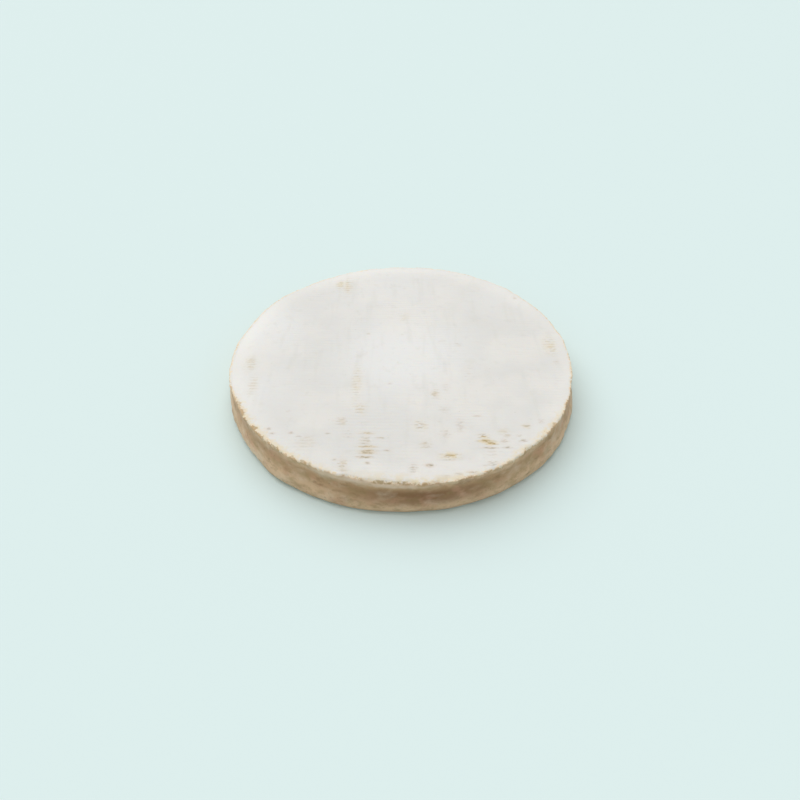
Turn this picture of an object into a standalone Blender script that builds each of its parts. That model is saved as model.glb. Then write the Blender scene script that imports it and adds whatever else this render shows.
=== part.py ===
# A whole wheel of brie, drained and turned until its faces took a ribbed print: one flat round
# solid. Metres, +Z up. The wheel stands on z = 0 with the middle of its outline on the Z axis,
# and -Y is the side that it shows to the front.

import math

import bmesh
import bpy
from mathutils import Vector, noise

# Driving dimensions of the wheel
HEIGHT = 0.0368
RIM_RADIUS = 0.1812
WAIST_RADIUS = 0.1808
WAIST_HEIGHT = 0.0260
FLARE_RADIUS = 0.1852
FLARE_HEIGHT = 0.0070
FOOT_RADIUS = 0.1815

# The shoulder is tight, apart from a stretch at the front that has slumped into a soft roll
SHOULDER = 0.0019
ROLLED_SHOULDER = 0.0060
ROLLED_MIDDLE_DEG = -93.0
ROLLED_HALF_WIDTH_DEG = 19.0

# The hoop left the rim a little out of round: lobes, their height and where the first peaks.
# The foot, which settled later, follows the rim by this share.
OUT_OF_ROUND = ((2, 0.0005, 48.0), (3, 0.0012, -59.0), (4, 0.0004, 37.0))
FOOT_SHARE = 0.3

# Places where the rim stands out or falls in: direction, reach and half-width in degrees
BULGES = (
    (-170.0, 0.0018, 12.0), (-47.0, -0.0018, 13.0), (50.0, 0.0008, 10.0),
    (119.0, -0.0014, 9.0), (143.0, 0.0016, 12.0), (165.0, -0.0016, 10.0),
)

# Places where the low flare swells out further, given in the same way
SWELLS = (
    (-114.0, 0.0022, 32.0), (-133.0, 0.0015, 15.0), (-42.0, 0.0014, 18.0),
    (-31.0, 0.0010, 6.0), (-4.0, -0.0026, 16.0), (117.0, 0.0010, 8.0),
)

# Lumps in the paste: how far they stand out and how long each is
SIDE_LUMPS = ((0.0011, 0.055), (0.0007, 0.019))
RIM_CHIPS = ((0.0008, 0.013), (0.0006, 0.006))
TOP_SWAGS = ((0.0009, 0.095), (0.0003, 0.030))

# The upper face keeps a faint print of ribs along X: deeper in some patches than in others
RIB_PITCH = 0.0043
RIB_DEPTH = 0.00022
RIB_MEAN_SHARE = 0.65
RIB_SHARE_SPREAD = 0.7
RIB_PATCH = 0.060
FACE_FALL = 0.0006
FACE_FALL_WIDTH = 0.016

# Mesh steps
COLUMNS = 240
FOOT_STEPS = 3
WALL_STEPS = 6
SHOULDER_STEPS = 3
FACE_COLUMNS = 11
FACE_MARGIN = 0.0024
FACE_END_ROUNDS = 4
SHARP_ANGLE_DEG = 50.0

# Colours of the rind, in linear values
WHITE_BLOOM = (0.78, 0.77, 0.73, 1.0)
WORN_SIDE = (0.46, 0.36, 0.25, 1.0)
WHITE_ROUGHNESS = 0.85
SIDE_ROUGHNESS = 0.70


def clear_scene():
    for item in list(bpy.data.objects):
        bpy.data.objects.remove(item, do_unlink=True)


def smoothstep(value):
    value = min(max(value, 0.0), 1.0)
    return value * value * (3.0 - 2.0 * value)


def blend(low, high, share):
    return low + (high - low) * share


def turn_between(angle, middle_deg):
    """Smallest turn in degrees from a direction in radians to one in degrees."""
    return abs((math.degrees(angle) - middle_deg + 180.0) % 360.0 - 180.0)


def lumps(point, sizes):
    """Sum of smooth bumps at a point, from pairs of height and length."""
    return sum(height * noise.noise(point / length) for height, length in sizes)


def on_circle(radius, angle, height):
    return Vector((radius * math.cos(angle), radius * math.sin(angle), height))


def stand_out(angle, places):
    """How far places of given direction, reach and half-width stand out in this direction."""
    return sum(
        reach * (1.0 - smoothstep(turn_between(angle, middle) / half_width))
        for middle, reach, half_width in places
    )


def outline_shift(angle):
    """How far the rim stands out from a true circle in this direction."""
    lobes = sum(
        height * math.cos(count * (angle - math.radians(peak)))
        for count, height, peak in OUT_OF_ROUND
    )
    return lobes + stand_out(angle, BULGES)


def shoulder_at(angle):
    turn = turn_between(angle, ROLLED_MIDDLE_DEG) / ROLLED_HALF_WIDTH_DEG
    return blend(ROLLED_SHOULDER, SHOULDER, smoothstep(turn))


def wall_radius(height):
    """Radius of the true wall: widest low down, drawn in at the waist, out again at the rim."""
    if height < WAIST_HEIGHT:
        rise = (height - FLARE_HEIGHT) / (WAIST_HEIGHT - FLARE_HEIGHT)
        return blend(FLARE_RADIUS, WAIST_RADIUS, smoothstep(rise))
    rise = (height - WAIST_HEIGHT) / (HEIGHT - WAIST_HEIGHT)
    return blend(WAIST_RADIUS, RIM_RADIUS, smoothstep(rise))


def side_relief(angle, radius, height):
    """Everything that pushes a point of the side in or out of the true turned shape."""
    point = on_circle(radius, angle, height)
    rise = smoothstep(height / HEIGHT)
    return (
        outline_shift(angle) * blend(FOOT_SHARE, 1.0, rise)
        + stand_out(angle, SWELLS) * (1.0 - rise)
        + lumps(point, SIDE_LUMPS)
        + lumps(point, RIM_CHIPS) * rise ** 3
    )


def face_height(x, y):
    """Height of the upper face, without its ribs."""
    inward = RIM_RADIUS - math.hypot(x, y)
    fall = FACE_FALL * (1.0 - smoothstep(inward / FACE_FALL_WIDTH))
    return HEIGHT - fall + lumps(Vector((x, y, 0.0)), TOP_SWAGS)


def rib_strength(x, y):
    return RIB_MEAN_SHARE + RIB_SHARE_SPREAD * noise.noise(Vector((x, y, 0.0)) / RIB_PATCH)


def side_point(angle, radius, height):
    return on_circle(radius + side_relief(angle, radius, height), angle, height)


def side_column(angle):
    """Points up the side in one direction, from the foot to the edge of the upper face."""
    points = []
    for step in range(FOOT_STEPS):
        arc = math.radians(90.0) * step / FOOT_STEPS
        radius = blend(FOOT_RADIUS, FLARE_RADIUS, math.sin(arc))
        points.append(side_point(angle, radius, FLARE_HEIGHT * (1.0 - math.cos(arc))))

    shoulder = shoulder_at(angle)
    wall_top = HEIGHT - shoulder
    for step in range(WALL_STEPS):
        height = blend(FLARE_HEIGHT, wall_top, step / WALL_STEPS)
        points.append(side_point(angle, wall_radius(height), height))

    wall_end = wall_radius(wall_top)
    for step in range(SHOULDER_STEPS + 1):
        arc = math.radians(90.0) * step / SHOULDER_STEPS
        radius = wall_end - shoulder * (1.0 - math.cos(arc))
        point = side_point(angle, radius, wall_top)
        point.z = blend(wall_top, face_height(point.x, point.y), math.sin(arc))
        points.append(point)
    return points


def build_side(mesh):
    """Closed wall of quads. Returns the vertices of its lowest and highest rings."""
    angles = [math.tau * column / COLUMNS for column in range(COLUMNS)]
    columns = [[mesh.verts.new(point) for point in side_column(angle)] for angle in angles]
    for index, column in enumerate(columns):
        following = columns[(index + 1) % COLUMNS]
        for row in range(len(column) - 1):
            corners = (column[row], following[row], following[row + 1], column[row + 1])
            mesh.faces.new(corners).material_index = 1
    return [column[0] for column in columns], [column[-1] for column in columns]


def face_reach(angle):
    """Radius at which the ribbed print ends, just inside the shoulder."""
    radius = wall_radius(HEIGHT - SHOULDER) - shoulder_at(angle)
    return radius + side_relief(angle, radius, HEIGHT - shoulder_at(angle)) - FACE_MARGIN


def face_end(y, side):
    """X of the end of the line at y, on the +X side (side 1) or the -X side (side -1)."""
    x = side * math.sqrt(max(RIM_RADIUS ** 2 - y ** 2, 0.0))
    for _ in range(FACE_END_ROUNDS):
        reach = face_reach(math.atan2(y, x))
        x = side * math.sqrt(max(reach ** 2 - y ** 2, 0.0))
    return x


def face_lines():
    """Y of each crest and hollow of the print, from front to back, and whether it is a hollow."""
    step = RIB_PITCH / 2.0
    front = face_reach(math.radians(-90.0)) - FACE_MARGIN
    back = face_reach(math.radians(90.0)) - FACE_MARGIN
    first = math.ceil(-front / step)
    last = math.floor(back / step)
    return [(index * step, index % 2 == 0) for index in range(first, last + 1)]


def face_point(x, y, is_hollow):
    depth = RIB_DEPTH * rib_strength(x, y) if is_hollow else 0.0
    return Vector((x, y, face_height(x, y) - depth))


def build_printed_face(mesh):
    """Upper face as rows of quads along the ribs. Returns the vertices round its edge."""
    rows = []
    for y, is_hollow in face_lines():
        left = face_end(y, -1.0)
        right = face_end(y, 1.0)
        places = [blend(left, right, index / FACE_COLUMNS) for index in range(FACE_COLUMNS + 1)]
        rows.append([mesh.verts.new(face_point(x, y, is_hollow)) for x in places])
    for row, following in zip(rows, rows[1:]):
        for index in range(FACE_COLUMNS):
            mesh.faces.new((row[index], row[index + 1], following[index + 1], following[index]))
    right_ends = [row[-1] for row in rows[1:-1]]
    left_ends = [row[0] for row in rows[1:-1]]
    return rows[0] + right_ends + rows[-1][::-1] + left_ends[::-1]


def build_base(mesh, foot_ring):
    """Flat underside, as a fan round a middle point."""
    middle = mesh.verts.new((0.0, 0.0, 0.0))
    for start, end in zip(foot_ring, foot_ring[1:] + foot_ring[:1]):
        mesh.faces.new((end, start, middle))


def loop_edges(mesh, ring):
    """Edges of a closed ring of vertices, made where they aren't there yet."""
    edges = []
    for start, end in zip(ring, ring[1:] + ring[:1]):
        edges.append(mesh.edges.get((start, end)) or mesh.edges.new((start, end)))
    return edges


def join_face_to_shoulder(mesh, face_ring, shoulder_ring):
    edges = loop_edges(mesh, face_ring) + loop_edges(mesh, shoulder_ring)
    bmesh.ops.triangle_fill(mesh, use_beauty=True, use_dissolve=False, edges=edges)


def centre_outline(mesh):
    """Moves the solid so that the middle of its outline is on the Z axis."""
    across = [vertex.co.x for vertex in mesh.verts]
    along = [vertex.co.y for vertex in mesh.verts]
    shift = Vector((-(min(across) + max(across)) / 2.0, -(min(along) + max(along)) / 2.0, 0.0))
    bmesh.ops.translate(mesh, verts=mesh.verts, vec=shift)


def rind_material(name, colour, roughness):
    material = bpy.data.materials.new(name)
    material.use_nodes = True
    shader = material.node_tree.nodes["Principled BSDF"]
    shader.inputs["Base Color"].default_value = colour
    shader.inputs["Roughness"].default_value = roughness
    shader.inputs["Metallic"].default_value = 0.0
    return material


def build_brie_wheel():
    mesh = bmesh.new()
    foot_ring, shoulder_ring = build_side(mesh)
    build_base(mesh, foot_ring)
    face_ring = build_printed_face(mesh)
    join_face_to_shoulder(mesh, face_ring, shoulder_ring)
    centre_outline(mesh)
    bmesh.ops.recalc_face_normals(mesh, faces=mesh.faces)

    data = bpy.data.meshes.new("brie_wheel")
    mesh.to_mesh(data)
    mesh.free()
    data.materials.append(rind_material("bloomy_rind", WHITE_BLOOM, WHITE_ROUGHNESS))
    data.materials.append(rind_material("worn_rind", WORN_SIDE, SIDE_ROUGHNESS))
    data.shade_smooth()
    data.set_sharp_from_angle(angle=math.radians(SHARP_ANGLE_DEG))
    wheel = bpy.data.objects.new("brie_wheel", data)
    bpy.context.scene.collection.objects.link(wheel)
    return wheel


clear_scene()
build_brie_wheel()
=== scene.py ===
import math

import bpy
import numpy as np
from mathutils import Matrix, Vector, noise


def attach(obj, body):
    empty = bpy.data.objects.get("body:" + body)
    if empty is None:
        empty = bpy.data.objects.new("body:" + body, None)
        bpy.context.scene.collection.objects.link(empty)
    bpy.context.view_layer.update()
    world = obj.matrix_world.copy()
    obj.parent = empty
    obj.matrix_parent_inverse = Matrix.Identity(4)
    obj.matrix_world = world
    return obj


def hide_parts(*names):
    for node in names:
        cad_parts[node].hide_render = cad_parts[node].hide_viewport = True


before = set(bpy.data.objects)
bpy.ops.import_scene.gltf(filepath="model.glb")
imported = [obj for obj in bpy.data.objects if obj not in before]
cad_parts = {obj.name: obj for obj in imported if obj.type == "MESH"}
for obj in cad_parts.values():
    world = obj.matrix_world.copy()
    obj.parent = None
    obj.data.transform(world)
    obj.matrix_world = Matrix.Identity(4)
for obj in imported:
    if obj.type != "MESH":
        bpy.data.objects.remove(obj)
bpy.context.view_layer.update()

# The wheel: its form.
# A whole brie: curd ladled into a round hoop, drained, turned, salted and ripened for weeks. The
# soft paste settles, so the wall flares low down, and at the front the shoulder has slumped.

HEIGHT = 0.0368
RIM_RADIUS = 0.1812
WAIST_RADIUS = 0.1808
WAIST_HEIGHT = 0.0260
FLARE_RADIUS = 0.1852
FLARE_HEIGHT = 0.0070
FOOT_RADIUS = 0.1815
SHOULDER = 0.0019
ROLLED_SHOULDER = 0.0060
ROLLED_MIDDLE_DEG = -93.0
ROLLED_HALF_WIDTH_DEG = 19.0

# Lobes of the outline: how many, how far they stand out, and where the first peaks in degrees.
# The foot follows the rim by this share.
OUT_OF_ROUND = ((2, 0.0005, 48.0), (3, 0.0012, -59.0), (4, 0.0004, 37.0))
FOOT_SHARE = 0.3

# Places where the rim and the low flare stand out or fall in: direction in degrees, how far,
# and half-width in degrees
BULGES = (
    (-170.0, 0.0018, 12.0), (-47.0, -0.0018, 13.0), (50.0, 0.0008, 10.0),
    (119.0, -0.0014, 9.0), (143.0, 0.0016, 12.0), (165.0, -0.0016, 10.0),
)
SWELLS = (
    (-114.0, 0.0022, 32.0), (-133.0, 0.0015, 15.0), (-42.0, 0.0014, 18.0),
    (-31.0, 0.0010, 6.0), (-4.0, -0.0026, 16.0), (117.0, 0.0010, 8.0),
)

# Lumps in the paste: how high and how long. The face falls a little towards the rim.
SIDE_LUMPS = ((0.0011, 0.055), (0.0007, 0.019))
TOP_SWAGS = ((0.0009, 0.095), (0.0003, 0.030))
FACE_FALL = 0.0006
FACE_FALL_WIDTH = 0.016


def smoothstep(value):
    value = np.clip(value, 0.0, 1.0)
    return value * value * (3.0 - 2.0 * value)


def blend(low, high, share):
    return low + (high - low) * share


def stack(x, y, z):
    return np.stack(np.broadcast_arrays(x, y, z), axis=-1)


def soft_noise(points, length, lane=0.0):
    """Smooth noise at an array of points, in bumps about this long. Each lane is another draw."""
    places = (points / length + lane).reshape(-1, 3)
    values = np.array([noise.noise(Vector(place)) for place in places])
    return values.reshape(points.shape[:-1])


def lumps(points, sizes):
    return sum(height * soft_noise(points, length) for height, length in sizes)


def stand_out(angle, places):
    """How far places of given direction, reach and half-width stand out in each direction."""
    total = 0.0 * angle
    for middle, reach, half_width in places:
        turn = np.abs((np.degrees(angle) - middle + 180.0) % 360.0 - 180.0)
        total = total + reach * (1.0 - smoothstep(turn / half_width))
    return total


def rolled_at(angle):
    """1 where the shoulder has slumped into a soft roll, 0 where it is tight."""
    return stand_out(angle, ((ROLLED_MIDDLE_DEG, 1.0, ROLLED_HALF_WIDTH_DEG),))


def wall_radius(height):
    """Radius of the true wall: widest low down, drawn in at the waist, out again at the rim."""
    low = (height - FLARE_HEIGHT) / (WAIST_HEIGHT - FLARE_HEIGHT)
    high = (height - WAIST_HEIGHT) / (HEIGHT - WAIST_HEIGHT)
    radius = blend(FLARE_RADIUS, WAIST_RADIUS, smoothstep(low))
    return radius + (RIM_RADIUS - WAIST_RADIUS) * smoothstep(high)


def outline_shift(angle):
    """How far the rim stands out from a true circle."""
    shift = stand_out(angle, BULGES)
    for lobes, reach, peak in OUT_OF_ROUND:
        shift = shift + reach * np.cos(lobes * (angle - math.radians(peak)))
    return shift


def face_height(x, y):
    """Height of the upper face, without its print."""
    inward = RIM_RADIUS - np.hypot(x, y)
    fall = FACE_FALL * (1.0 - smoothstep(inward / FACE_FALL_WIDTH))
    return HEIGHT - fall + lumps(stack(x, y, 0.0), TOP_SWAGS)


# The wheel: its rim and side.
# The rim crumbled a little when the hoop came off, most at the front, and the drained skin of the
# side has shrunk into fine upright creases. Both are relief in the same rind.

SIDE_COLUMNS = 720
FOOT_ROWS = 7
WALL_ROWS = 19
SHOULDER_ROWS = 7

# Chips and crumbs of the rim: how deep and how long. Crumbs grow with how ragged the rim is,
# both fade down the side by a power of its rise, and a bite drops the shoulder by a share of it.
RIM_CHIPS = ((0.0008, 0.013), (0.0006, 0.006))
RIM_CRUMBS = ((0.00070, 0.0080), (0.00045, 0.0038))
CRUMBS_LEAST = 0.3
CHIP_RISE_POWER = 3
CHIP_DROP = 0.8

# How ragged the rim is at least, and its more ragged stretches: direction, how much, half-width
RAGGED_LEAST = 0.15
RAGGED_STRETCHES = ((-136.0, 0.85, 42.0), (-45.0, 0.65, 46.0), (70.0, 0.15, 30.0))

# Puckers and upright creases of the side
SIDE_PUCKERS = ((0.00030, 0.0090), (0.00014, 0.0045))
SIDE_CREASE_HEIGHT = 0.0010
SIDE_CREASE_WIDTH = 0.0060
SIDE_CREASE_STRETCH = 0.30
CREASE_LANE = 7.0


def ragged_at(angle):
    """How ragged the rim is, from 0 to 1."""
    return np.clip(RAGGED_LEAST + stand_out(angle, RAGGED_STRETCHES), 0.0, 1.0)


def chips_at(points):
    """How far the chips and crumbs stand out, or less than 0 where the rim is bitten."""
    angle = np.arctan2(points[..., 1], points[..., 0])
    crumbled = ragged_at(angle) + CRUMBS_LEAST
    return lumps(points, RIM_CHIPS) + lumps(points, RIM_CRUMBS) * crumbled


def side_relief(angle, radius, height):
    """How far the side stands out from the true turned form, fine creases included."""
    points = stack(radius * np.cos(angle), radius * np.sin(angle), height)
    rise = smoothstep(height / HEIGHT)
    above_foot = smoothstep(height / FLARE_HEIGHT)
    upright = points * np.array([1.0, 1.0, SIDE_CREASE_STRETCH])
    creases = SIDE_CREASE_HEIGHT * soft_noise(upright, SIDE_CREASE_WIDTH, CREASE_LANE)
    return (
        outline_shift(angle) * blend(FOOT_SHARE, 1.0, rise)
        + stand_out(angle, SWELLS) * (1.0 - rise)
        + lumps(points, SIDE_LUMPS)
        + chips_at(points) * rise ** CHIP_RISE_POWER
        + lumps(points, SIDE_PUCKERS) * above_foot
        + creases * above_foot * (1.0 - rise)
    )


def side_points():
    """Rows of points up the side for each direction, with how far each is past the rim."""
    angle = np.linspace(0.0, math.tau, SIDE_COLUMNS, endpoint=False)[:, None]
    foot_arc = np.linspace(0.0, math.pi / 2.0, FOOT_ROWS, endpoint=False)[None, :]
    foot_radius = blend(FOOT_RADIUS, FLARE_RADIUS, np.sin(foot_arc)) + 0.0 * angle
    foot_height = FLARE_HEIGHT * (1.0 - np.cos(foot_arc)) + 0.0 * angle

    shoulder = blend(SHOULDER, ROLLED_SHOULDER, rolled_at(angle))
    wall_top = HEIGHT - shoulder
    climb = np.linspace(0.0, 1.0, WALL_ROWS, endpoint=False)[None, :]
    wall_height = blend(FLARE_HEIGHT, wall_top, climb)

    arc = np.linspace(0.0, math.pi / 2.0, SHOULDER_ROWS + 1)[None, :]
    roll_radius = wall_radius(wall_top) - shoulder * (1.0 - np.cos(arc))

    radius = np.hstack([foot_radius, wall_radius(wall_height), roll_radius])
    height = np.hstack([foot_height, wall_height, wall_top + 0.0 * arc])
    reach = radius + side_relief(angle, radius, height)
    points = stack(reach * np.cos(angle), reach * np.sin(angle), height)

    roll = points[:, -(SHOULDER_ROWS + 1):]
    top = face_height(roll[..., 0], roll[..., 1])
    bitten = np.minimum(chips_at(roll), 0.0) * CHIP_DROP * np.sqrt(np.cos(arc))
    roll[..., 2] = blend(wall_top, top + bitten, np.sin(arc))

    # The rim itself is halfway up the shoulder's roll
    past_rim = np.hstack([
        foot_height - HEIGHT,
        wall_height - HEIGHT,
        shoulder * (arc - math.pi / 4.0),
    ])
    return points, past_rim


# The wheel: the ribbed print of its faces.
# Shallow troughs that the curd took while it drained, with a narrow ridge between each and the
# next. The mould has grown over them since, so they are plainer in some patches than in others.

RIB_PITCH = 0.0043
RIB_UNEVEN = 0.00035
RIB_DEPTH = 0.00009
RIDGE_SHARPNESS = 3.0
RIB_SWAY = 0.0008
RIB_SWAY_LENGTH = 0.110
RIB_SWAY_LANE = 3.0
PRINT_FADE = 0.005
FACE_END_ROUNDS = 5

# How the depth varies over a patch of the face and along a run of one rib: how long they are,
# and their shares of the depth, as the mean, how far they stray, the least and the most
RIB_PATCH = 0.060
RIB_PATCH_SHARES = (0.65, 1.2, 0.1, 2.0)
RIB_RUN = 0.022
RIB_RUN_LANE = 5.0
RIB_RUN_SHARES = (0.8, 1.5, 0.1, 2.2)

# Clumps of mould on the face: how high and how long
BLOOM_CLUMPS = ((0.00007, 0.0075), (0.00005, 0.0038))


def ridge_lines(span, seed):
    """Y of each ridge between two troughs, from front to back."""
    count = math.ceil(span / RIB_PITCH)
    uneven = np.random.default_rng(seed).uniform(-RIB_UNEVEN, RIB_UNEVEN, 2 * count)
    return (np.arange(-count, count) + 0.5) * RIB_PITCH + uneven


def printed_rows(ridges, rows_each, front, back):
    """Y of each row of points, and how near it is to the crest of a ridge, from 0 to 1."""
    between = np.arange(rows_each) / rows_each
    y = (ridges[:-1, None] + np.diff(ridges)[:, None] * between).ravel()
    crest = np.tile(np.abs(np.cos(math.pi * between)) ** RIDGE_SHARPNESS, len(ridges) - 1)
    inside = (y > front) & (y < back)
    return y[inside], crest[inside]


def printed_face(ring, seed, rows_each, columns, margin):
    """A face within a ring of points, as a grid whose rows follow the ribs.

    Gives its points, how near each is to a crest, and how far it is inside the face's edge.
    """
    ring_angle = np.arctan2(ring[:, 1], ring[:, 0])
    order = np.argsort(ring_angle)
    ring_reach = np.hypot(ring[:, 0], ring[:, 1])[order]

    def reach(angle):
        return np.interp(angle, ring_angle[order], ring_reach, period=math.tau) - margin

    y, crest = printed_rows(
        ridge_lines(RIM_RADIUS, seed),
        rows_each,
        margin - reach(-math.pi / 2.0),
        reach(math.pi / 2.0) - margin,
    )
    ends = []
    for side in (-1.0, 1.0):
        x = side * np.sqrt(np.maximum(RIM_RADIUS ** 2 - y ** 2, 0.0))
        for _ in range(FACE_END_ROUNDS):
            x = side * np.sqrt(np.maximum(reach(np.arctan2(y, x)) ** 2 - y ** 2, 0.0))
        ends.append(x)
    share = np.linspace(0.0, 1.0, columns + 1)
    x = blend(ends[0][:, None], ends[1][:, None], share)
    flat = stack(x, y[:, None], 0.0)
    sway = RIB_SWAY * soft_noise(flat, RIB_SWAY_LENGTH, RIB_SWAY_LANE)
    inset = reach(np.arctan2(flat[..., 1], flat[..., 0])) - np.hypot(x, flat[..., 1])
    flat[..., 1] += sway * smoothstep(inset / PRINT_FADE)
    return flat, crest[:, None] + 0.0 * x, inset


def varied(noise_values, shares):
    """Shares that stray from their mean with the noise, between the least and the most."""
    mean, stray, least, most = shares
    return np.clip(mean + stray * noise_values, least, most)


def print_depth(flat, crest, inset):
    """How deep the trough is at each point, fading out at the edge of the face."""
    patch = varied(soft_noise(flat, RIB_PATCH), RIB_PATCH_SHARES)
    along = flat / np.array([RIB_RUN, RIB_PITCH, 1.0])
    run = varied(soft_noise(along, 1.0, RIB_RUN_LANE), RIB_RUN_SHARES)
    return RIB_DEPTH * patch * run * (1.0 - crest) * smoothstep(inset / PRINT_FADE)


# The wheel: its rubbed places.
# Where the face was rubbed in handling, the white felt came off in short strokes along the ribs,
# and the skin shows through. The felt round them has taken a stain.

MM = 0.001

# Each place is x, y, half-width across and along (mm), how many strokes it has, how deep they go
# (0 to 1, or a little more), and their hue, from grey (0) to ochre (1)
RUBBED_PLACES = (
    (-59, -101, 4, 4.5, 2, 0.45, 0.4), (-52, -119, 4, 5.5, 3, 0.28, 0.0),
    (-42, -83, 5, 7.0, 3, 0.36, 0.6), (-34, -117, 5, 1.5, 1, 0.55, 0.5),
    (-35, -128, 4, 5.5, 3, 0.50, 0.4), (-33, -135, 6, 1.5, 1, 0.75, 0.5),
    (-32, -142, 6, 2.5, 2, 0.85, 0.4), (-35, -149, 5, 1.3, 1, 0.80, 0.3),
    (-32, -156, 2, 1.3, 1, 0.60, 0.0), (-20, -124, 4, 1.3, 1, 0.50, 0.0),
    (-14, -140, 3, 1.3, 1, 0.40, 0.0), (-55, -160, 4, 7.0, 3, 0.50, 0.4),
    (-62, -152, 2, 1.5, 1, 0.40, 0.0), (17, -106, 5, 5.0, 2, 0.50, 0.6),
    (22, -132, 4, 4.0, 2, 0.45, 0.4), (25, -158, 3, 1.5, 1, 1.00, 0.2),
    (10, -163, 3, 4.5, 3, 0.50, 0.1), (44, -146, 6, 3.0, 1, 0.75, 1.0),
    (43, -151, 7, 1.0, 1, 0.50, 0.1), (77, -121, 3, 2.2, 1, 1.00, 0.9),
    (79, -127, 4.5, 1.7, 1, 1.30, 0.6), (84, -130, 3.5, 1.6, 1, 1.20, 0.9),
    (82, -136, 6, 1.0, 1, 0.60, 0.2), (83, -143, 5, 4.0, 2, 0.25, 0.2),
    (73, -92, 3, 1.4, 1, 0.45, 0.0), (56, -107, 3, 7.0, 3, 0.42, 0.0),
    (41, -117, 4, 5.5, 3, 0.36, 0.0), (41, -83, 4, 4.5, 2, 0.30, 0.0),
    (99, -120, 3, 1.6, 1, 0.55, 0.3), (96, -127, 3, 2.7, 2, 0.40, 0.0),
    (98, -135, 3, 1.3, 1, 0.62, 0.0), (97, -114, 5, 3.5, 2, 0.30, 0.7),
    (111, -120, 2, 1.3, 1, 0.55, 0.0), (114, -126, 3, 1.3, 1, 0.65, 0.2),
    (120, -106, 3, 2.1, 1, 0.70, 0.5), (135, -99, 2, 2.8, 1, 0.40, 0.2),
    (83, -156, 3, 2.5, 2, 0.70, 0.0), (89, -157, 3, 1.2, 1, 0.90, 0.0),
    (67, -166, 5, 1.1, 1, 0.60, 0.0), (-128, -112, 2, 1.4, 1, 0.50, 0.0),
    (-124, -118, 2, 1.4, 1, 0.50, 0.0), (-106, -117, 2, 1.4, 1, 0.45, 0.0),
    (-98, -122, 2, 1.3, 1, 0.50, 0.1), (-87, -121, 7, 1.3, 1, 0.20, 0.0),
    (-91, -130, 9, 8.0, 4, 0.26, 0.5), (-71, -118, 2, 1.4, 1, 0.35, 0.0),
    (-113, -87, 2, 1.4, 1, 0.30, 0.0), (-161, -14, 5, 8.0, 4, 0.36, 0.8),
    (-153, -50, 4, 12.0, 5, 0.32, 0.6), (-66, 135, 4, 13.0, 3, 0.40, 0.7),
    (-75, 139, 4, 6.5, 2, 0.45, 0.9), (-47, -42, 4, 22.0, 8, 0.34, 0.8),
    (-13, -44, 2, 1.6, 1, 0.35, 0.2), (33, -60, 3, 5.0, 3, 0.50, 0.4),
    (45, -51, 3, 6.0, 2, 0.25, 0.0), (61, 22, 3, 3.5, 1, 0.30, 0.0),
    (69, -29, 4, 15.0, 3, 0.20, 0.0), (161, 21, 5, 11.0, 4, 0.45, 0.8),
    (164, -8, 3, 3.5, 2, 0.30, 0.0), (133, 114, 2, 3.0, 1, 0.40, 0.0),
    (1, 72, 5, 8.0, 2, 0.25, 0.8), (75, -158, 3, 1.2, 1, 0.30, 0.0),
    (-38, 41, 2, 2.5, 1, 0.30, 0.0), (19, -173, 4, 1.0, 1, 0.60, 0.1),
    (30, -172, 3, 1.0, 1, 0.65, 0.1), (40, -171, 4, 1.0, 1, 0.70, 0.1),
    (51, -168, 3, 1.0, 1, 0.45, 0.1),
)

# Strokes of one place: how wide, how far they slant and slip along the rib, and between which
# shares their lengths, widths and depths differ
STROKE_SEED = 4
STROKE_HALF_WIDTH_MM = 1.0
STROKE_SLANT = 0.16
STROKE_SLIP = 0.35
STROKE_LENGTHS = (0.6, 1.1)
STROKE_WIDTHS = (0.8, 1.4)
STROKE_DEPTHS = (0.7, 1.1)

# Faint strays lie anywhere on the face, and are deeper at the front than at the back
STRAY_STROKES = 110
STRAY_DEEPEST = 0.30
STRAY_DEPTHS = (0.3, 1.0)
STRAY_BACK_SHARE = 0.3
STRAY_FADE_MM = 250.0
STRAY_REACH = 0.93
STRAY_HALF_LENGTHS_MM = (1.2, 4.5)

# How far the strokes wander along X and Y, how long the bends are, and their lanes
STROKE_WANDER_MM = ((1.3, 7.0, 11.0), (0.9, 4.0, 17.0))

# A stain is wider than its strokes, and its hue is 0 far from any. Rubbed felt is thinner.
STAIN_SPREAD = 1.6
HUE_FLOOR = 1e-4
RUBBED_FLAT = 0.00010


def rubbed_strokes():
    """Each stroke as x, y, half-length and half-width (mm), slant and depth."""
    draw = np.random.default_rng(STROKE_SEED)
    strokes = []
    for x, y, half_x, half_y, count, depth, _ in RUBBED_PLACES:
        for number in range(count):
            alone = count == 1
            slip = 0.0 if alone else draw.uniform(-STROKE_SLIP, STROKE_SLIP) * half_x
            length = half_x * (1.0 if alone else draw.uniform(*STROKE_LENGTHS))
            width = min(half_y / count, STROKE_HALF_WIDTH_MM * draw.uniform(*STROKE_WIDTHS))
            deep = depth * (1.0 if alone else draw.uniform(*STROKE_DEPTHS))
            step = (number + 0.5) / count * 2.0 - 1.0
            slant = draw.uniform(-STROKE_SLANT, STROKE_SLANT)
            strokes.append((x + slip, y + step * half_y, length, width, slant, deep))
    for _ in range(STRAY_STROKES):
        angle = draw.uniform(-math.pi, math.pi)
        reach = RIM_RADIUS / MM * STRAY_REACH * math.sqrt(draw.uniform())
        x, y = reach * math.cos(angle), reach * math.sin(angle)
        front = smoothstep(0.5 - y / STRAY_FADE_MM)
        depth = STRAY_DEEPEST * draw.uniform(*STRAY_DEPTHS) * blend(STRAY_BACK_SHARE, 1.0, front)
        length = draw.uniform(*STRAY_HALF_LENGTHS_MM)
        strokes.append((x, y, length, STROKE_HALF_WIDTH_MM, 0.0, depth))
    return strokes


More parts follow.
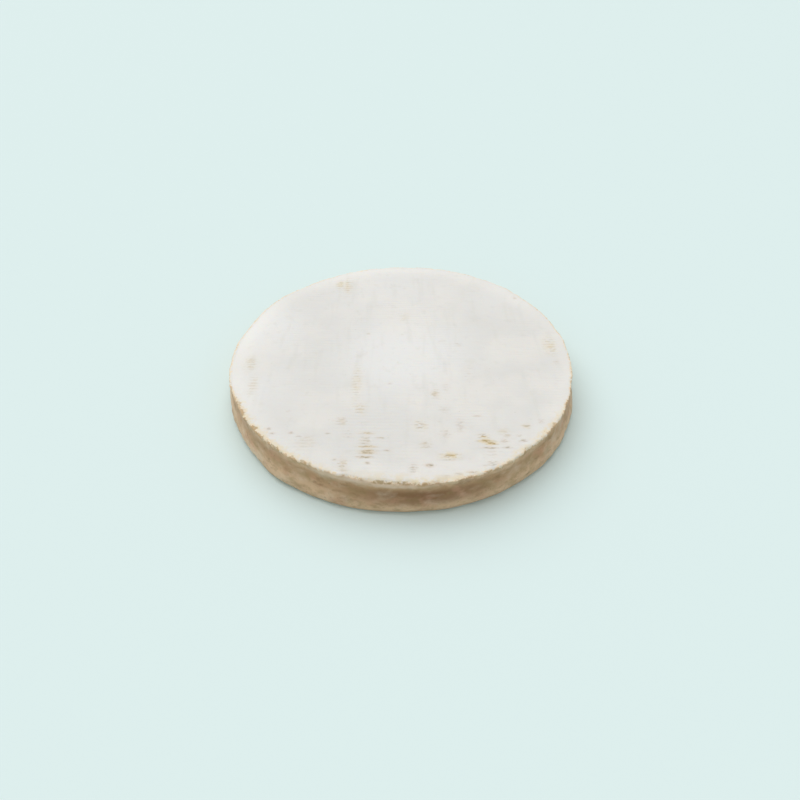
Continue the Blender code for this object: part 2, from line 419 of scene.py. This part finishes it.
def rubbed_at(flat):
    """How deep the strokes go, how stained the felt round them is, and the hue of both."""
    x = flat[..., 0] / MM
    y = flat[..., 1] / MM
    (reach_x, length_x, lane_x), (reach_y, length_y, lane_y) = STROKE_WANDER_MM
    wandered_x = x + reach_x * soft_noise(flat / MM, length_x, lane_x)
    wandered_y = y + reach_y * soft_noise(flat / MM, length_y, lane_y)

    # A stroke is blunt at its ends and soft along its sides
    deep = np.zeros_like(x)
    for middle_x, middle_y, half_x, half_y, slant, depth in rubbed_strokes():
        across = (wandered_x - middle_x) / half_x
        along = (wandered_y - middle_y - slant * (x - middle_x)) / half_y
        deep = np.maximum(deep, depth * np.exp(-across ** 4 - along ** 2))
    stained = np.zeros_like(x)
    hue = np.zeros_like(x)
    weight = np.full_like(x, HUE_FLOOR)
    for middle_x, middle_y, half_x, half_y, _, depth, tone in RUBBED_PLACES:
        across = (x - middle_x) / (half_x * STAIN_SPREAD)
        along = (y - middle_y) / (half_y * STAIN_SPREAD)
        near = depth * np.exp(-across ** 2 - along ** 2)
        stained = np.maximum(stained, near)
        weight = weight + near ** 2
        hue = hue + tone * near ** 2
    return deep, stained, hue / weight


# The wheel: where its rind differs, and where light and shade are painted on it.
# The face is painted lighter in the middle, at the left end and along the back: painted light,
# where the light falls most. At the front right the felt hangs over the rim a little, and at the
# front the skin under it is darker, partly browner skin and partly painted shade.

# Places where the face is painted lighter, as painted light: x, y and reach (mm), and how much
# (0 to 1)
PAINTED_LIGHT_PLACES = (
    (0, 5, 75, 1.0), (-165, 45, 60, 1.0), (-20, 140, 100, 0.55), (110, 110, 50, 0.45),
    (-150, -50, 50, 0.60),
)

# How far the felt hangs over the rim, or stops short of it: direction, mm and half-width in
# degrees
OVERHANG_MM = ((-145.0, -0.9, 24.0), (-44.0, 0.3, 34.0))

# Browned skin at the front, partly painted shade, a darker stretch of it under the rim, and a pale
# veil of mould on the roll, partly a painted highlight: direction, how strong (0 to 1) and
# half-width in degrees
BROWNED_AND_SHADED_STRETCHES = ((-84.0, 1.0, 36.0),)
DARKENED_STRETCHES = ((-72.0, 1.0, 17.0),)
VEILED_AND_LIT_STRETCHES = ((ROLLED_MIDDLE_DEG, 1.0, ROLLED_HALF_WIDTH_DEG), (-109.0, 0.70, 13.0))


def painted_light_at(x, y):
    """How much lighter the face is painted than elsewhere, as painted light, from 0 to 1."""
    lighter = np.zeros_like(x)
    for middle_x, middle_y, reach, most in PAINTED_LIGHT_PLACES:
        away = np.hypot(x / MM - middle_x, y / MM - middle_y) / reach
        lighter = np.maximum(lighter, most * np.exp(-away ** 2))
    return lighter


def stretch_marks(angle):
    """Marks that depend on the direction alone."""
    return {
        "rolled": rolled_at(angle),
        "ragged": ragged_at(angle),
        "browned_and_shaded": stand_out(angle, BROWNED_AND_SHADED_STRETCHES),
        "veiled_and_lit": stand_out(angle, VEILED_AND_LIT_STRETCHES),
    }


# The wheel: its skin as one closed mesh.
# The side, the two printed faces and the narrow seams between them are one surface, as the rind
# of a cheese is. Each point keeps marks, such as how worn, ragged and far past the rim it is.

# Each face: rows of points to a rib, columns of points, seed, and how far inside the ring that
# meets it
TOP_ROWS_EACH = 5
TOP_COLUMNS = 150
TOP_SEED = 11
TOP_MARGIN = 0.0024
BASE_ROWS_EACH = 2
BASE_COLUMNS = 48
BASE_SEED = 12
BASE_MARGIN = 0.0020

# The side has no ribs, so all of it counts as halfway from a trough to a crest
SIDE_CREST = 0.5


def grid_edge(rows, columns, start):
    """Indices round the edge of a grid, counter-clockwise seen from +Z."""
    index = start + np.arange(rows * columns).reshape(rows, columns)
    return np.concatenate([index[0], index[1:, -1], index[-1, -2::-1], index[-2:0:-1, 0]])


def grid_faces(rows, columns, start):
    index = start + np.arange(rows * columns).reshape(rows, columns)
    corners = (index[:-1, :-1], index[:-1, 1:], index[1:, 1:], index[1:, :-1])
    return np.stack(corners, axis=-1).reshape(-1, 4)


def zip_rings(points, inner, outer):
    """Triangles between two closed rings of indices that both go round the Z axis."""
    def by_angle(ring):
        angle = np.arctan2(points[ring, 1], points[ring, 0])
        order = np.argsort(angle)
        return ring[order], angle[order]

    inner, inner_angle = by_angle(inner)
    outer, outer_angle = by_angle(outer)
    triangles = []
    i = j = 0
    while i < len(inner) or j < len(outer):
        next_inner = inner_angle[i + 1] if i + 1 < len(inner) else inner_angle[0] + math.tau
        next_outer = outer_angle[j + 1] if j + 1 < len(outer) else outer_angle[0] + math.tau
        a = inner[i % len(inner)]
        b = outer[j % len(outer)]
        if j >= len(outer) or (i < len(inner) and next_inner < next_outer):
            i += 1
            triangles.append((a, b, inner[i % len(inner)]))
        else:
            j += 1
            triangles.append((a, b, outer[j % len(outer)]))
    return triangles


def skin_faces(points, side, top, base):
    """Faces of the side, the top and the base, and of the two seams, all pointing out."""
    top_start = side.shape[0] * side.shape[1]
    base_start = top_start + top.shape[0] * top.shape[1]
    index = np.arange(top_start).reshape(side.shape[:2])
    following = np.roll(index, -1, axis=0)
    corners = (index[:, :-1], following[:, :-1], following[:, 1:], index[:, 1:])
    faces = np.stack(corners, axis=-1).reshape(-1, 4).tolist()
    faces += grid_faces(*top.shape[:2], top_start).tolist()
    faces += [face[::-1] for face in grid_faces(*base.shape[:2], base_start).tolist()]

    top_edge = grid_edge(*top.shape[:2], top_start)
    base_edge = grid_edge(*base.shape[:2], base_start)
    faces += zip_rings(points, top_edge, index[:, -1])
    faces += [face[::-1] for face in zip_rings(points, base_edge, index[:, 0])]
    return faces


def build_skin():
    """The mesh of the rind, and the names of the marks that its points keep."""
    side, side_past_rim = side_points()
    top, top_crest, top_inset = printed_face(
        side[:, -1], TOP_SEED, TOP_ROWS_EACH, TOP_COLUMNS, TOP_MARGIN
    )
    top_deep, top_stained, top_hue = rubbed_at(top)
    top[..., 2] = (
        face_height(top[..., 0], top[..., 1])
        - print_depth(top, top_crest, top_inset)
        + lumps(top, BLOOM_CLUMPS)
        - RUBBED_FLAT * top_deep
    )
    base, base_crest, base_inset = printed_face(
        side[:, 0], BASE_SEED, BASE_ROWS_EACH, BASE_COLUMNS, BASE_MARGIN
    )
    base[..., 2] = print_depth(base, base_crest, base_inset)
    points = np.concatenate([grid.reshape(-1, 3) for grid in (side, top, base)])
    faces = skin_faces(points, side, top, base)

    on_side, on_top, on_base = (np.zeros(grid.shape[:2]) for grid in (side, top, base))
    side_angle = np.arctan2(side[..., 1], side[..., 0])
    top_angle = np.arctan2(top[..., 1], top[..., 0])
    top_past_rim = top_inset + TOP_MARGIN + SHOULDER * math.pi / 4.0
    side_marks = stretch_marks(side_angle)
    top_marks = stretch_marks(top_angle)
    marks = {name: (side_marks[name], top_marks[name], on_base) for name in side_marks}
    marks.update({
        "darkened": (stand_out(side_angle, DARKENED_STRETCHES), on_top, on_base),
        "painted_light": (on_side, painted_light_at(top[..., 0], top[..., 1]), on_base),
        "crest": (on_side + SIDE_CREST, top_crest, base_crest),
        "rubbed": (on_side, top_deep, on_base),
        "stained": (on_side, top_stained, on_base),
        "ochre": (on_side, top_hue, on_base),
        "past_rim_mm": (
            side_past_rim / MM + stand_out(side_angle, OVERHANG_MM),
            top_past_rim / MM + stand_out(top_angle, OVERHANG_MM),
            on_base - HEIGHT / MM,
        ),
        "height_mm": (side[..., 2] / MM, top[..., 2] / MM, base[..., 2] / MM),
    })

    # The middle of the outline goes onto the Z axis, as in the solid
    low = points.min(axis=0)
    high = points.max(axis=0)
    points = points - np.array([low[0] + high[0], low[1] + high[1], 0.0]) / 2.0

    mesh = bpy.data.meshes.new("brie_rind")
    mesh.from_pydata(points.tolist(), [], faces)
    for name, parts in marks.items():
        values = np.concatenate([part.ravel() for part in parts]).astype(np.float32)
        mesh.attributes.new(name, "FLOAT", "POINT").data.foreach_set("value", values)
    mesh.shade_smooth()
    mesh.validate()
    return mesh, tuple(marks)


# The wheel: bloomy rind, grown and dried.
# White mould felt is matt and a little velvety, and light sinks a short way into it. Where it is
# thin, at the rim and side, or rubbed off, the tan skin shows, waxy and slightly shinier.

# Growths, from 0 to 1: size of a patch (mm), lane, detail, and stretch along X, Y and Z. The real
# fibres and pores are much finer than fur and pores here, which are as coarse as they need to show.
GROWTH_ROUGHNESS = 0.55
GROWTHS = {
    "cloud": (60.0, 0.0, 2.0, (1.0, 1.0, 1.0)),
    "thin_patch": (13.0, 3.1, 4.0, (1.0, 1.0, 1.0)),
    "drain_streak": (8.0, 5.7, 1.0, (1.0, 6.0, 1.0)),
    "speck": (3.2, 12.4, 2.0, (1.0, 1.0, 1.0)),
    "blotch": (7.0, 2.2, 3.0, (1.0, 1.0, 1.0)),
    "fray": (1.7, 6.4, 3.0, (2.0, 0.8, 1.0)),
    "break_up": (4.5, 14.8, 2.0, (1.0, 0.7, 1.0)),
    "khaki_patch": (15.0, 1.4, 3.0, (1.0, 1.0, 0.6)),
    "pink_patch": (19.0, 4.9, 3.0, (1.0, 1.0, 0.6)),
    "dark_streak": (12.0, 7.7, 3.0, (1.0, 1.0, 0.4)),
    "pale_streak": (24.0, 9.2, 3.0, (1.0, 1.0, 0.45)),
    "grain": (3.0, 10.6, 2.0, (1.0, 1.0, 0.8)),
    "wander": (9.0, 2.9, 3.0, (1.0, 1.0, 1.0)),
    "fringe": (3.0, 6.1, 5.0, (1.0, 1.0, 1.0)),
    "fleck": (6.5, 3.7, 4.0, (1.0, 1.0, 1.0)),
    "torn": (5.0, 8.8, 4.0, (1.0, 1.0, 1.0)),
    "veil_and_highlight_patch": (16.0, 5.2, 2.0, (1.0, 1.0, 0.5)),
    "under_patch": (9.0, 1.9, 4.0, (1.0, 1.0, 1.0)),
    "fur": (0.9, 4.2, 4.0, (1.0, 1.0, 1.0)),
    "pores": (1.8, 7.1, 4.0, (1.0, 1.0, 2.0)),
}

# The felt's edge wanders from the rim: growth, how far between its ends (mm), what holds it in
EDGE_SWINGS = (("wander", 18.0, ("ragged",)), ("fringe", 9.0, ()))

# Growths joined with a mark of the mesh
JOINED = {
    "ragged_blotch": ("MULTIPLY", "ragged", "blotch"),
    "ridged_patch": ("ADD", "crest", "under_patch"),
}

# Limits, from 0 to 1: what each follows, where it starts and where it is full
LIMITS = {
    "in_stain": ("blotch", 0.30, 0.60),
    "in_break": ("break_up", 0.42, 0.56),
    "in_fray": ("fray", 0.32, 0.58),
    "in_rubbed": ("stained", 0.04, 0.45),
    "in_haze": ("ragged_blotch", 0.18, 0.48),
    "in_fleck": ("fleck", 0.50, 0.62),
    "in_torn": ("torn", 0.45, 0.60),
    "in_veil_and_highlight": ("veil_and_highlight_patch", 0.26, 0.60),
    "in_under": ("under_patch", 0.40, 0.58),
    "in_fringe": ("pale_streak", 0.30, 0.62),
    "off_rim": ("height_mm", 35.5, 26.0),
    "off_brown_and_shade": ("height_mm", 30.0, 22.0),
    "under_top": ("past_rim_mm", 0.6, -1.0),
    "near_roll": ("past_rim_mm", 2.6, 1.2),
    "near_edge": ("edge", 2.2, 0.6),
    "on_skin": ("edge", 0.5, -1.5),
    "on_felt": ("edge", -1.5, 0.5),
}

# Finishes, each a ground colour and the coats laid over it in turn: colour or an earlier finish,
# what it follows, where it starts, where it is full, how thick it gets, and what holds it in.
# The felt is painted lighter in the middle and along the back, painted light. Stained felt and bare
# skin go from grey to ochre. The skin of the side darkens upwards and at the front, partly browner
# skin and partly painted shade, and is darker at the foot, painted shade. Under the rim it turns
# khaki, then a cream line, partly cream rind and partly a painted highlight. The felt lies over it
# from the rim inwards, with brown flecks at its edge, a pale veil on the roll, partly whiter mould
# and partly a painted highlight, and torn flecks on the roll.
FINISHES = {
    "stain": ("#D6CABF", (
        ("#DFD0AA", "ochre", 0.1, 0.8, 1.0, ()),
    )),
    "bare": ("#A0987F", (
        ("#AE9560", "ochre", 0.1, 0.8, 1.0, ()),
    )),
    "felt": ("#DDDDDA", (
        # Painted light: the face lighter in the middle, at the left end and along the back
        ("#E7E8E7", "painted_light", 0.00, 1.00, 1.00, ()),
        ("#E9E7E2", "cloud", 0.46, 0.66, 0.45, ()),
        ("#D5D5CF", "thin_patch", 0.54, 0.80, 0.50, ()),
        ("#D2D2CC", "drain_streak", 0.52, 0.80, 0.24, ()),
        ("#C9C7BE", "speck", 0.66, 0.82, 0.50, ()),
        ("#F2F1ED", "past_rim_mm", 30.0, 4.0, 0.25, ()),
        # Painted light: whiter towards the rim where the face is painted lighter
        ("#F2F1ED", "past_rim_mm", 30.0, 4.0, 0.50, ("painted_light",)),
        ("#DFCFA6", "past_rim_mm", 11.0, 1.0, 0.75, ("browned_and_shaded", "in_stain")),
        ("#B7AD97", "crest", 0.30, 1.00, 0.60, ("in_rubbed", "in_break")),
        ("stain", "stained", 0.00, 0.75, 0.75, ("in_stain",)),
        ("bare", "rubbed", 0.03, 0.95, 1.00, ("in_fray",)),
        ("#E6D5AD", "edge", 8.0, 1.5, 0.62, ("in_haze",)),
    )),
    "underside": ("#E3DCCB", (
        ("#BFA67C", "ridged_patch", 1.0, 1.7, 0.7, ()),
    )),
    "rind": ("#DBBD99", (
        # Partly browner skin, partly painted shade: the wall darker from low down to under the rim,
        # lighter on the flare that faces up
        ("#B8956C", "height_mm", 11.0, 25.0, 0.90, ("off_rim",)),
        # Painted shade: darker at the foot, where the wall meets the floor
        ("#B38F64", "height_mm", 7.0, 1.0, 0.60, ()),
        # Partly browner skin, partly painted shade: the front of the side darker from low down to
        # under the rim
        ("#7C5531", "height_mm", 7.0, 17.0, 0.80, ("off_brown_and_shade", "browned_and_shaded")),
        ("#A08A5C", "khaki_patch", 0.44, 0.70, 0.50, ()),
        ("#CB9D80", "pink_patch", 0.48, 0.72, 0.50, ()),
        ("#8C6D45", "dark_streak", 0.48, 0.80, 0.55, ()),
        ("#E6D5BD", "pale_streak", 0.46, 0.80, 0.50, ()),
        ("#86693F", "grain", 0.54, 0.80, 0.35, ()),
        ("#7C5531", "past_rim_mm", -11.0, -6.0, 0.45, ("darkened", "in_under")),
        ("#A0865A", "edge", -8.0, -1.0, 0.60, ("ragged", "in_under")),
        ("#E0C79F", "edge", -8.0, 0.0, 0.35, ("in_fringe",)),
        # Partly cream rind, partly a painted highlight: the bright cream line where the rim catches
        # the light
        ("#F1E5CE", "edge", -1.2, 0.3, 0.82, ()),
        ("felt", "edge", 0.0, 2.4, 1.0, ()),
        ("#9C875C", "edge", -1.4, 0.2, 0.65, ("near_edge", "in_fleck", "ragged")),
        # Partly whiter mould, partly a painted highlight: the pale band on the roll under the rim
        ("#E3D0BA", "past_rim_mm", -9.0, -4.0, 0.85, ("under_top", "in_veil_and_highlight", "veiled_and_lit")),
        ("#A58C5E", "past_rim_mm", -2.4, -0.8, 0.80, ("near_roll", "in_torn", "rolled")),
        ("underside", "height_mm", 1.6, 0.3, 1.0, ()),
    )),
}

# Cottony fibres on the felt, pores and crazing on the skin: where, strength and height (mm)
FINE_RELIEF = {
    "fur": ("on_felt", 0.35, 0.3),
    "pores": ("on_skin", 0.35, 0.5),
}
FELT_ROUGHNESS = 0.88
SKIN_ROUGHNESS = 0.66
RIND_SHADER = {
    "IOR": 1.45,
    "Specular IOR Level": 0.35,
    "Subsurface Weight": 0.12,
    "Subsurface Radius": (1.0, 0.7, 0.45),
    "Subsurface Scale": 0.003,
    "Sheen Weight": 0.12,
    "Sheen Roughness": 0.6,
}


def linear(hex_colour):
    """An sRGB hex colour as linear red, green, blue and alpha."""
    values = [int(hex_colour[place:place + 2], 16) / 255.0 for place in (1, 3, 5)]
    curved = [v / 12.92 if v <= 0.04045 else ((v + 0.055) / 1.055) ** 2.4 for v in values]
    return (*curved, 1.0)


def add_node(tree, kind, settings, inputs):
    """Adds a node. Settings are its properties; inputs are socket values or what feeds them."""
    node = tree.nodes.new(kind)
    for name, value in settings.items():
        setattr(node, name, value)
    for name, value in inputs.items():
        if isinstance(value, bpy.types.NodeSocket):
            tree.links.new(value, node.inputs[name])
        else:
            node.inputs[name].default_value = value
    return node


def grow(tree, place, size_mm, lane, detail, stretch):
    """Uneven growth from 0 to 1, in patches of size_mm. Each lane is another patch of rind."""
    per_patch = [1.0 / (size_mm * MM * way) for way in stretch]
    spot = add_node(
        tree, "ShaderNodeVectorMath", {"operation": "MULTIPLY_ADD"},
        {0: place, 1: per_patch, 2: (lane, lane, lane)},
    )
    cloud = add_node(
        tree, "ShaderNodeTexNoise", {},
        {"Vector": spot.outputs[0], "Scale": 1.0, "Detail": detail, "Roughness": GROWTH_ROUGHNESS},
    )
    return cloud.outputs["Fac"]


def hold_in(tree, value, limits):
    """A value times each of its limits."""
    for limit in limits:
        held = add_node(tree, "ShaderNodeMath", {"operation": "MULTIPLY"}, {0: value, 1: limit})
        value = held.outputs[0]
    return value


def ragged_edge(tree, seen):
    """How far past the rim a place is (mm), as the wandering edge of the felt has it."""
    edge = seen["past_rim_mm"]
    for name, reach, within in EDGE_SWINGS:
        swing = add_node(
            tree, "ShaderNodeMath", {"operation": "MULTIPLY_ADD"},
            {0: seen[name], 1: reach, 2: -reach / 2.0},
        ).outputs[0]
        swing = hold_in(tree, swing, [seen[limit] for limit in within])
        moved = add_node(tree, "ShaderNodeMath", {"operation": "ADD"}, {0: edge, 1: swing})
        edge = moved.outputs[0]
    return edge


def rind_patterns(tree, marks):
    """Every mark of the mesh, growth and limit of the rind, by name."""
    place = add_node(tree, "ShaderNodeTexCoord", {}, {}).outputs["Object"]
    seen = {}
    for name in marks:
        mark = add_node(tree, "ShaderNodeAttribute", {"attribute_name": name}, {})
        seen[name] = mark.outputs["Fac"]
    for name, (size_mm, lane, detail, stretch) in GROWTHS.items():
        seen[name] = grow(tree, place, size_mm, lane, detail, stretch)
    seen["edge"] = ragged_edge(tree, seen)
    for name, (way, first, second) in JOINED.items():
        joined = add_node(
            tree, "ShaderNodeMath", {"operation": way}, {0: seen[first], 1: seen[second]}
        )
        seen[name] = joined.outputs[0]
    for name, (value, start, full) in LIMITS.items():
        ramp = add_node(
            tree, "ShaderNodeMapRange", {"interpolation_type": "SMOOTHSTEP"},
            {"Value": seen[value], "From Min": start, "From Max": full},
        )
        seen[name] = ramp.outputs["Result"]
    return seen


def lay_coats(tree, ground, coats, seen, finishes):
    """Lays coats over a ground colour. Each goes from none at its start to its most at full."""
    under = linear(ground)
    for colour, value, start, full, most, within in coats:
        cover = add_node(
            tree, "ShaderNodeMapRange", {"interpolation_type": "SMOOTHSTEP"},
            {
                "Value": seen[value], "From Min": start, "From Max": full,
                "To Min": 0.0, "To Max": most,
            },
        ).outputs["Result"]
        cover = hold_in(tree, cover, [seen[limit] for limit in within])
        over = finishes[colour] if colour in finishes else linear(colour)
        laid = add_node(
            tree, "ShaderNodeMix", {"data_type": "RGBA"}, {0: cover, 6: under, 7: over}
        )
        under = laid.outputs[2]
    return under


def fine_relief(tree, seen):
    """The normal of the surface with its fibres and pores."""
    normal = None
    for name, (where, strength, height_mm) in FINE_RELIEF.items():
        raised = hold_in(tree, seen[name], [seen[where]])
        inputs = {"Strength": strength, "Distance": height_mm * MM, "Height": raised}
        if normal:
            inputs["Normal"] = normal
        normal = add_node(tree, "ShaderNodeBump", {}, inputs).outputs[0]
    return normal


def bloomy_rind(marks):
    material = bpy.data.materials.new("white_mould_rind")
    material.use_nodes = True
    tree = material.node_tree
    tree.nodes.clear()
    seen = rind_patterns(tree, marks)
    finishes = {}
    for name, (ground, coats) in FINISHES.items():
        finishes[name] = lay_coats(tree, ground, coats, seen, finishes)
    roughness = add_node(
        tree, "ShaderNodeMath", {"operation": "MULTIPLY_ADD"},
        {0: seen["on_skin"], 1: SKIN_ROUGHNESS - FELT_ROUGHNESS, 2: FELT_ROUGHNESS},
    )
    shader = add_node(tree, "ShaderNodeBsdfPrincipled", {}, {
        "Base Color": finishes["rind"],
        "Roughness": roughness.outputs[0],
        "Normal": fine_relief(tree, seen),
        **RIND_SHADER,
    })
    add_node(tree, "ShaderNodeOutputMaterial", {}, {"Surface": shader.outputs[0]})
    return material


skin, skin_marks = build_skin()
brie = bpy.data.objects.new("brie_rind", skin)
brie.data.materials.append(bloomy_rind(skin_marks))
bpy.context.scene.collection.objects.link(brie)
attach(brie, "root")
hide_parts("brie_wheel")

# The floor.
# A plain painted floor, pale blue-green and matt, that the wheel stands on.

FLOOR_SIZE = 12.0
FLOOR_COLOUR = "#DCEEEE"
FLOOR_ROUGHNESS = 0.9
FLOOR_SPECULAR = 0.1


def floor_paint():
    material = bpy.data.materials.new("matt_floor_paint")
    material.use_nodes = True
    shader = material.node_tree.nodes["Principled BSDF"]
    shader.inputs["Base Color"].default_value = linear(FLOOR_COLOUR)
    shader.inputs["Roughness"].default_value = FLOOR_ROUGHNESS
    shader.inputs["Specular IOR Level"].default_value = FLOOR_SPECULAR
    return material


floor_mesh = bpy.data.meshes.new("floor")
half = FLOOR_SIZE / 2.0
floor_mesh.from_pydata(
    [(-half, -half, 0.0), (half, -half, 0.0), (half, half, 0.0), (-half, half, 0.0)],
    [],
    [(0, 1, 2, 3)],
)
floor_mesh.materials.append(floor_paint())
floor = bpy.data.objects.new("floor", floor_mesh)
bpy.context.scene.collection.objects.link(floor)

# The light.
# A very broad soft light from above and behind the wheel, in an even pale room.

KEY_FROM = (-0.30, 0.62, 0.95)
KEY_ANGLE_DEG = 70.0
KEY_STRENGTH = 1.80
ROOM_COLOUR = "#F6F4F1"
ROOM_STRENGTH = 0.60

key = bpy.data.lights.new("key_light", "SUN")
key.angle = math.radians(KEY_ANGLE_DEG)
key.energy = KEY_STRENGTH
key_lamp = bpy.data.objects.new("key_light", key)
key_lamp.rotation_euler = (-Vector(KEY_FROM)).to_track_quat("-Z", "Y").to_euler()
bpy.context.scene.collection.objects.link(key_lamp)

room = bpy.data.worlds.new("pale_room")
room.use_nodes = True
room.node_tree.nodes["Background"].inputs["Color"].default_value = linear(ROOM_COLOUR)
room.node_tree.nodes["Background"].inputs["Strength"].default_value = ROOM_STRENGTH
bpy.context.scene.world = room
bpy.context.scene.view_settings.view_transform = "Standard"

# The camera.
# It looks down at the wheel from the front, as the photograph does.

CAMERA_PLACE = (-0.00084, -0.6133, 0.5260)
CAMERA_PITCH_DEG = 41.97
CAMERA_ROLL_DEG = 0.36
CAMERA_LENS_MM = 32.9
CAMERA_SENSOR_MM = 36.0

lens = bpy.data.cameras.new("camera")
lens.lens = CAMERA_LENS_MM
lens.sensor_width = CAMERA_SENSOR_MM
camera = bpy.data.objects.new("camera", lens)
tilt = Matrix.Rotation(math.radians(90.0 - CAMERA_PITCH_DEG), 4, "X")
roll = Matrix.Rotation(math.radians(CAMERA_ROLL_DEG), 4, "Z")
camera.matrix_world = Matrix.Translation(CAMERA_PLACE) @ tilt @ roll
bpy.context.scene.collection.objects.link(camera)
bpy.context.scene.camera = camera
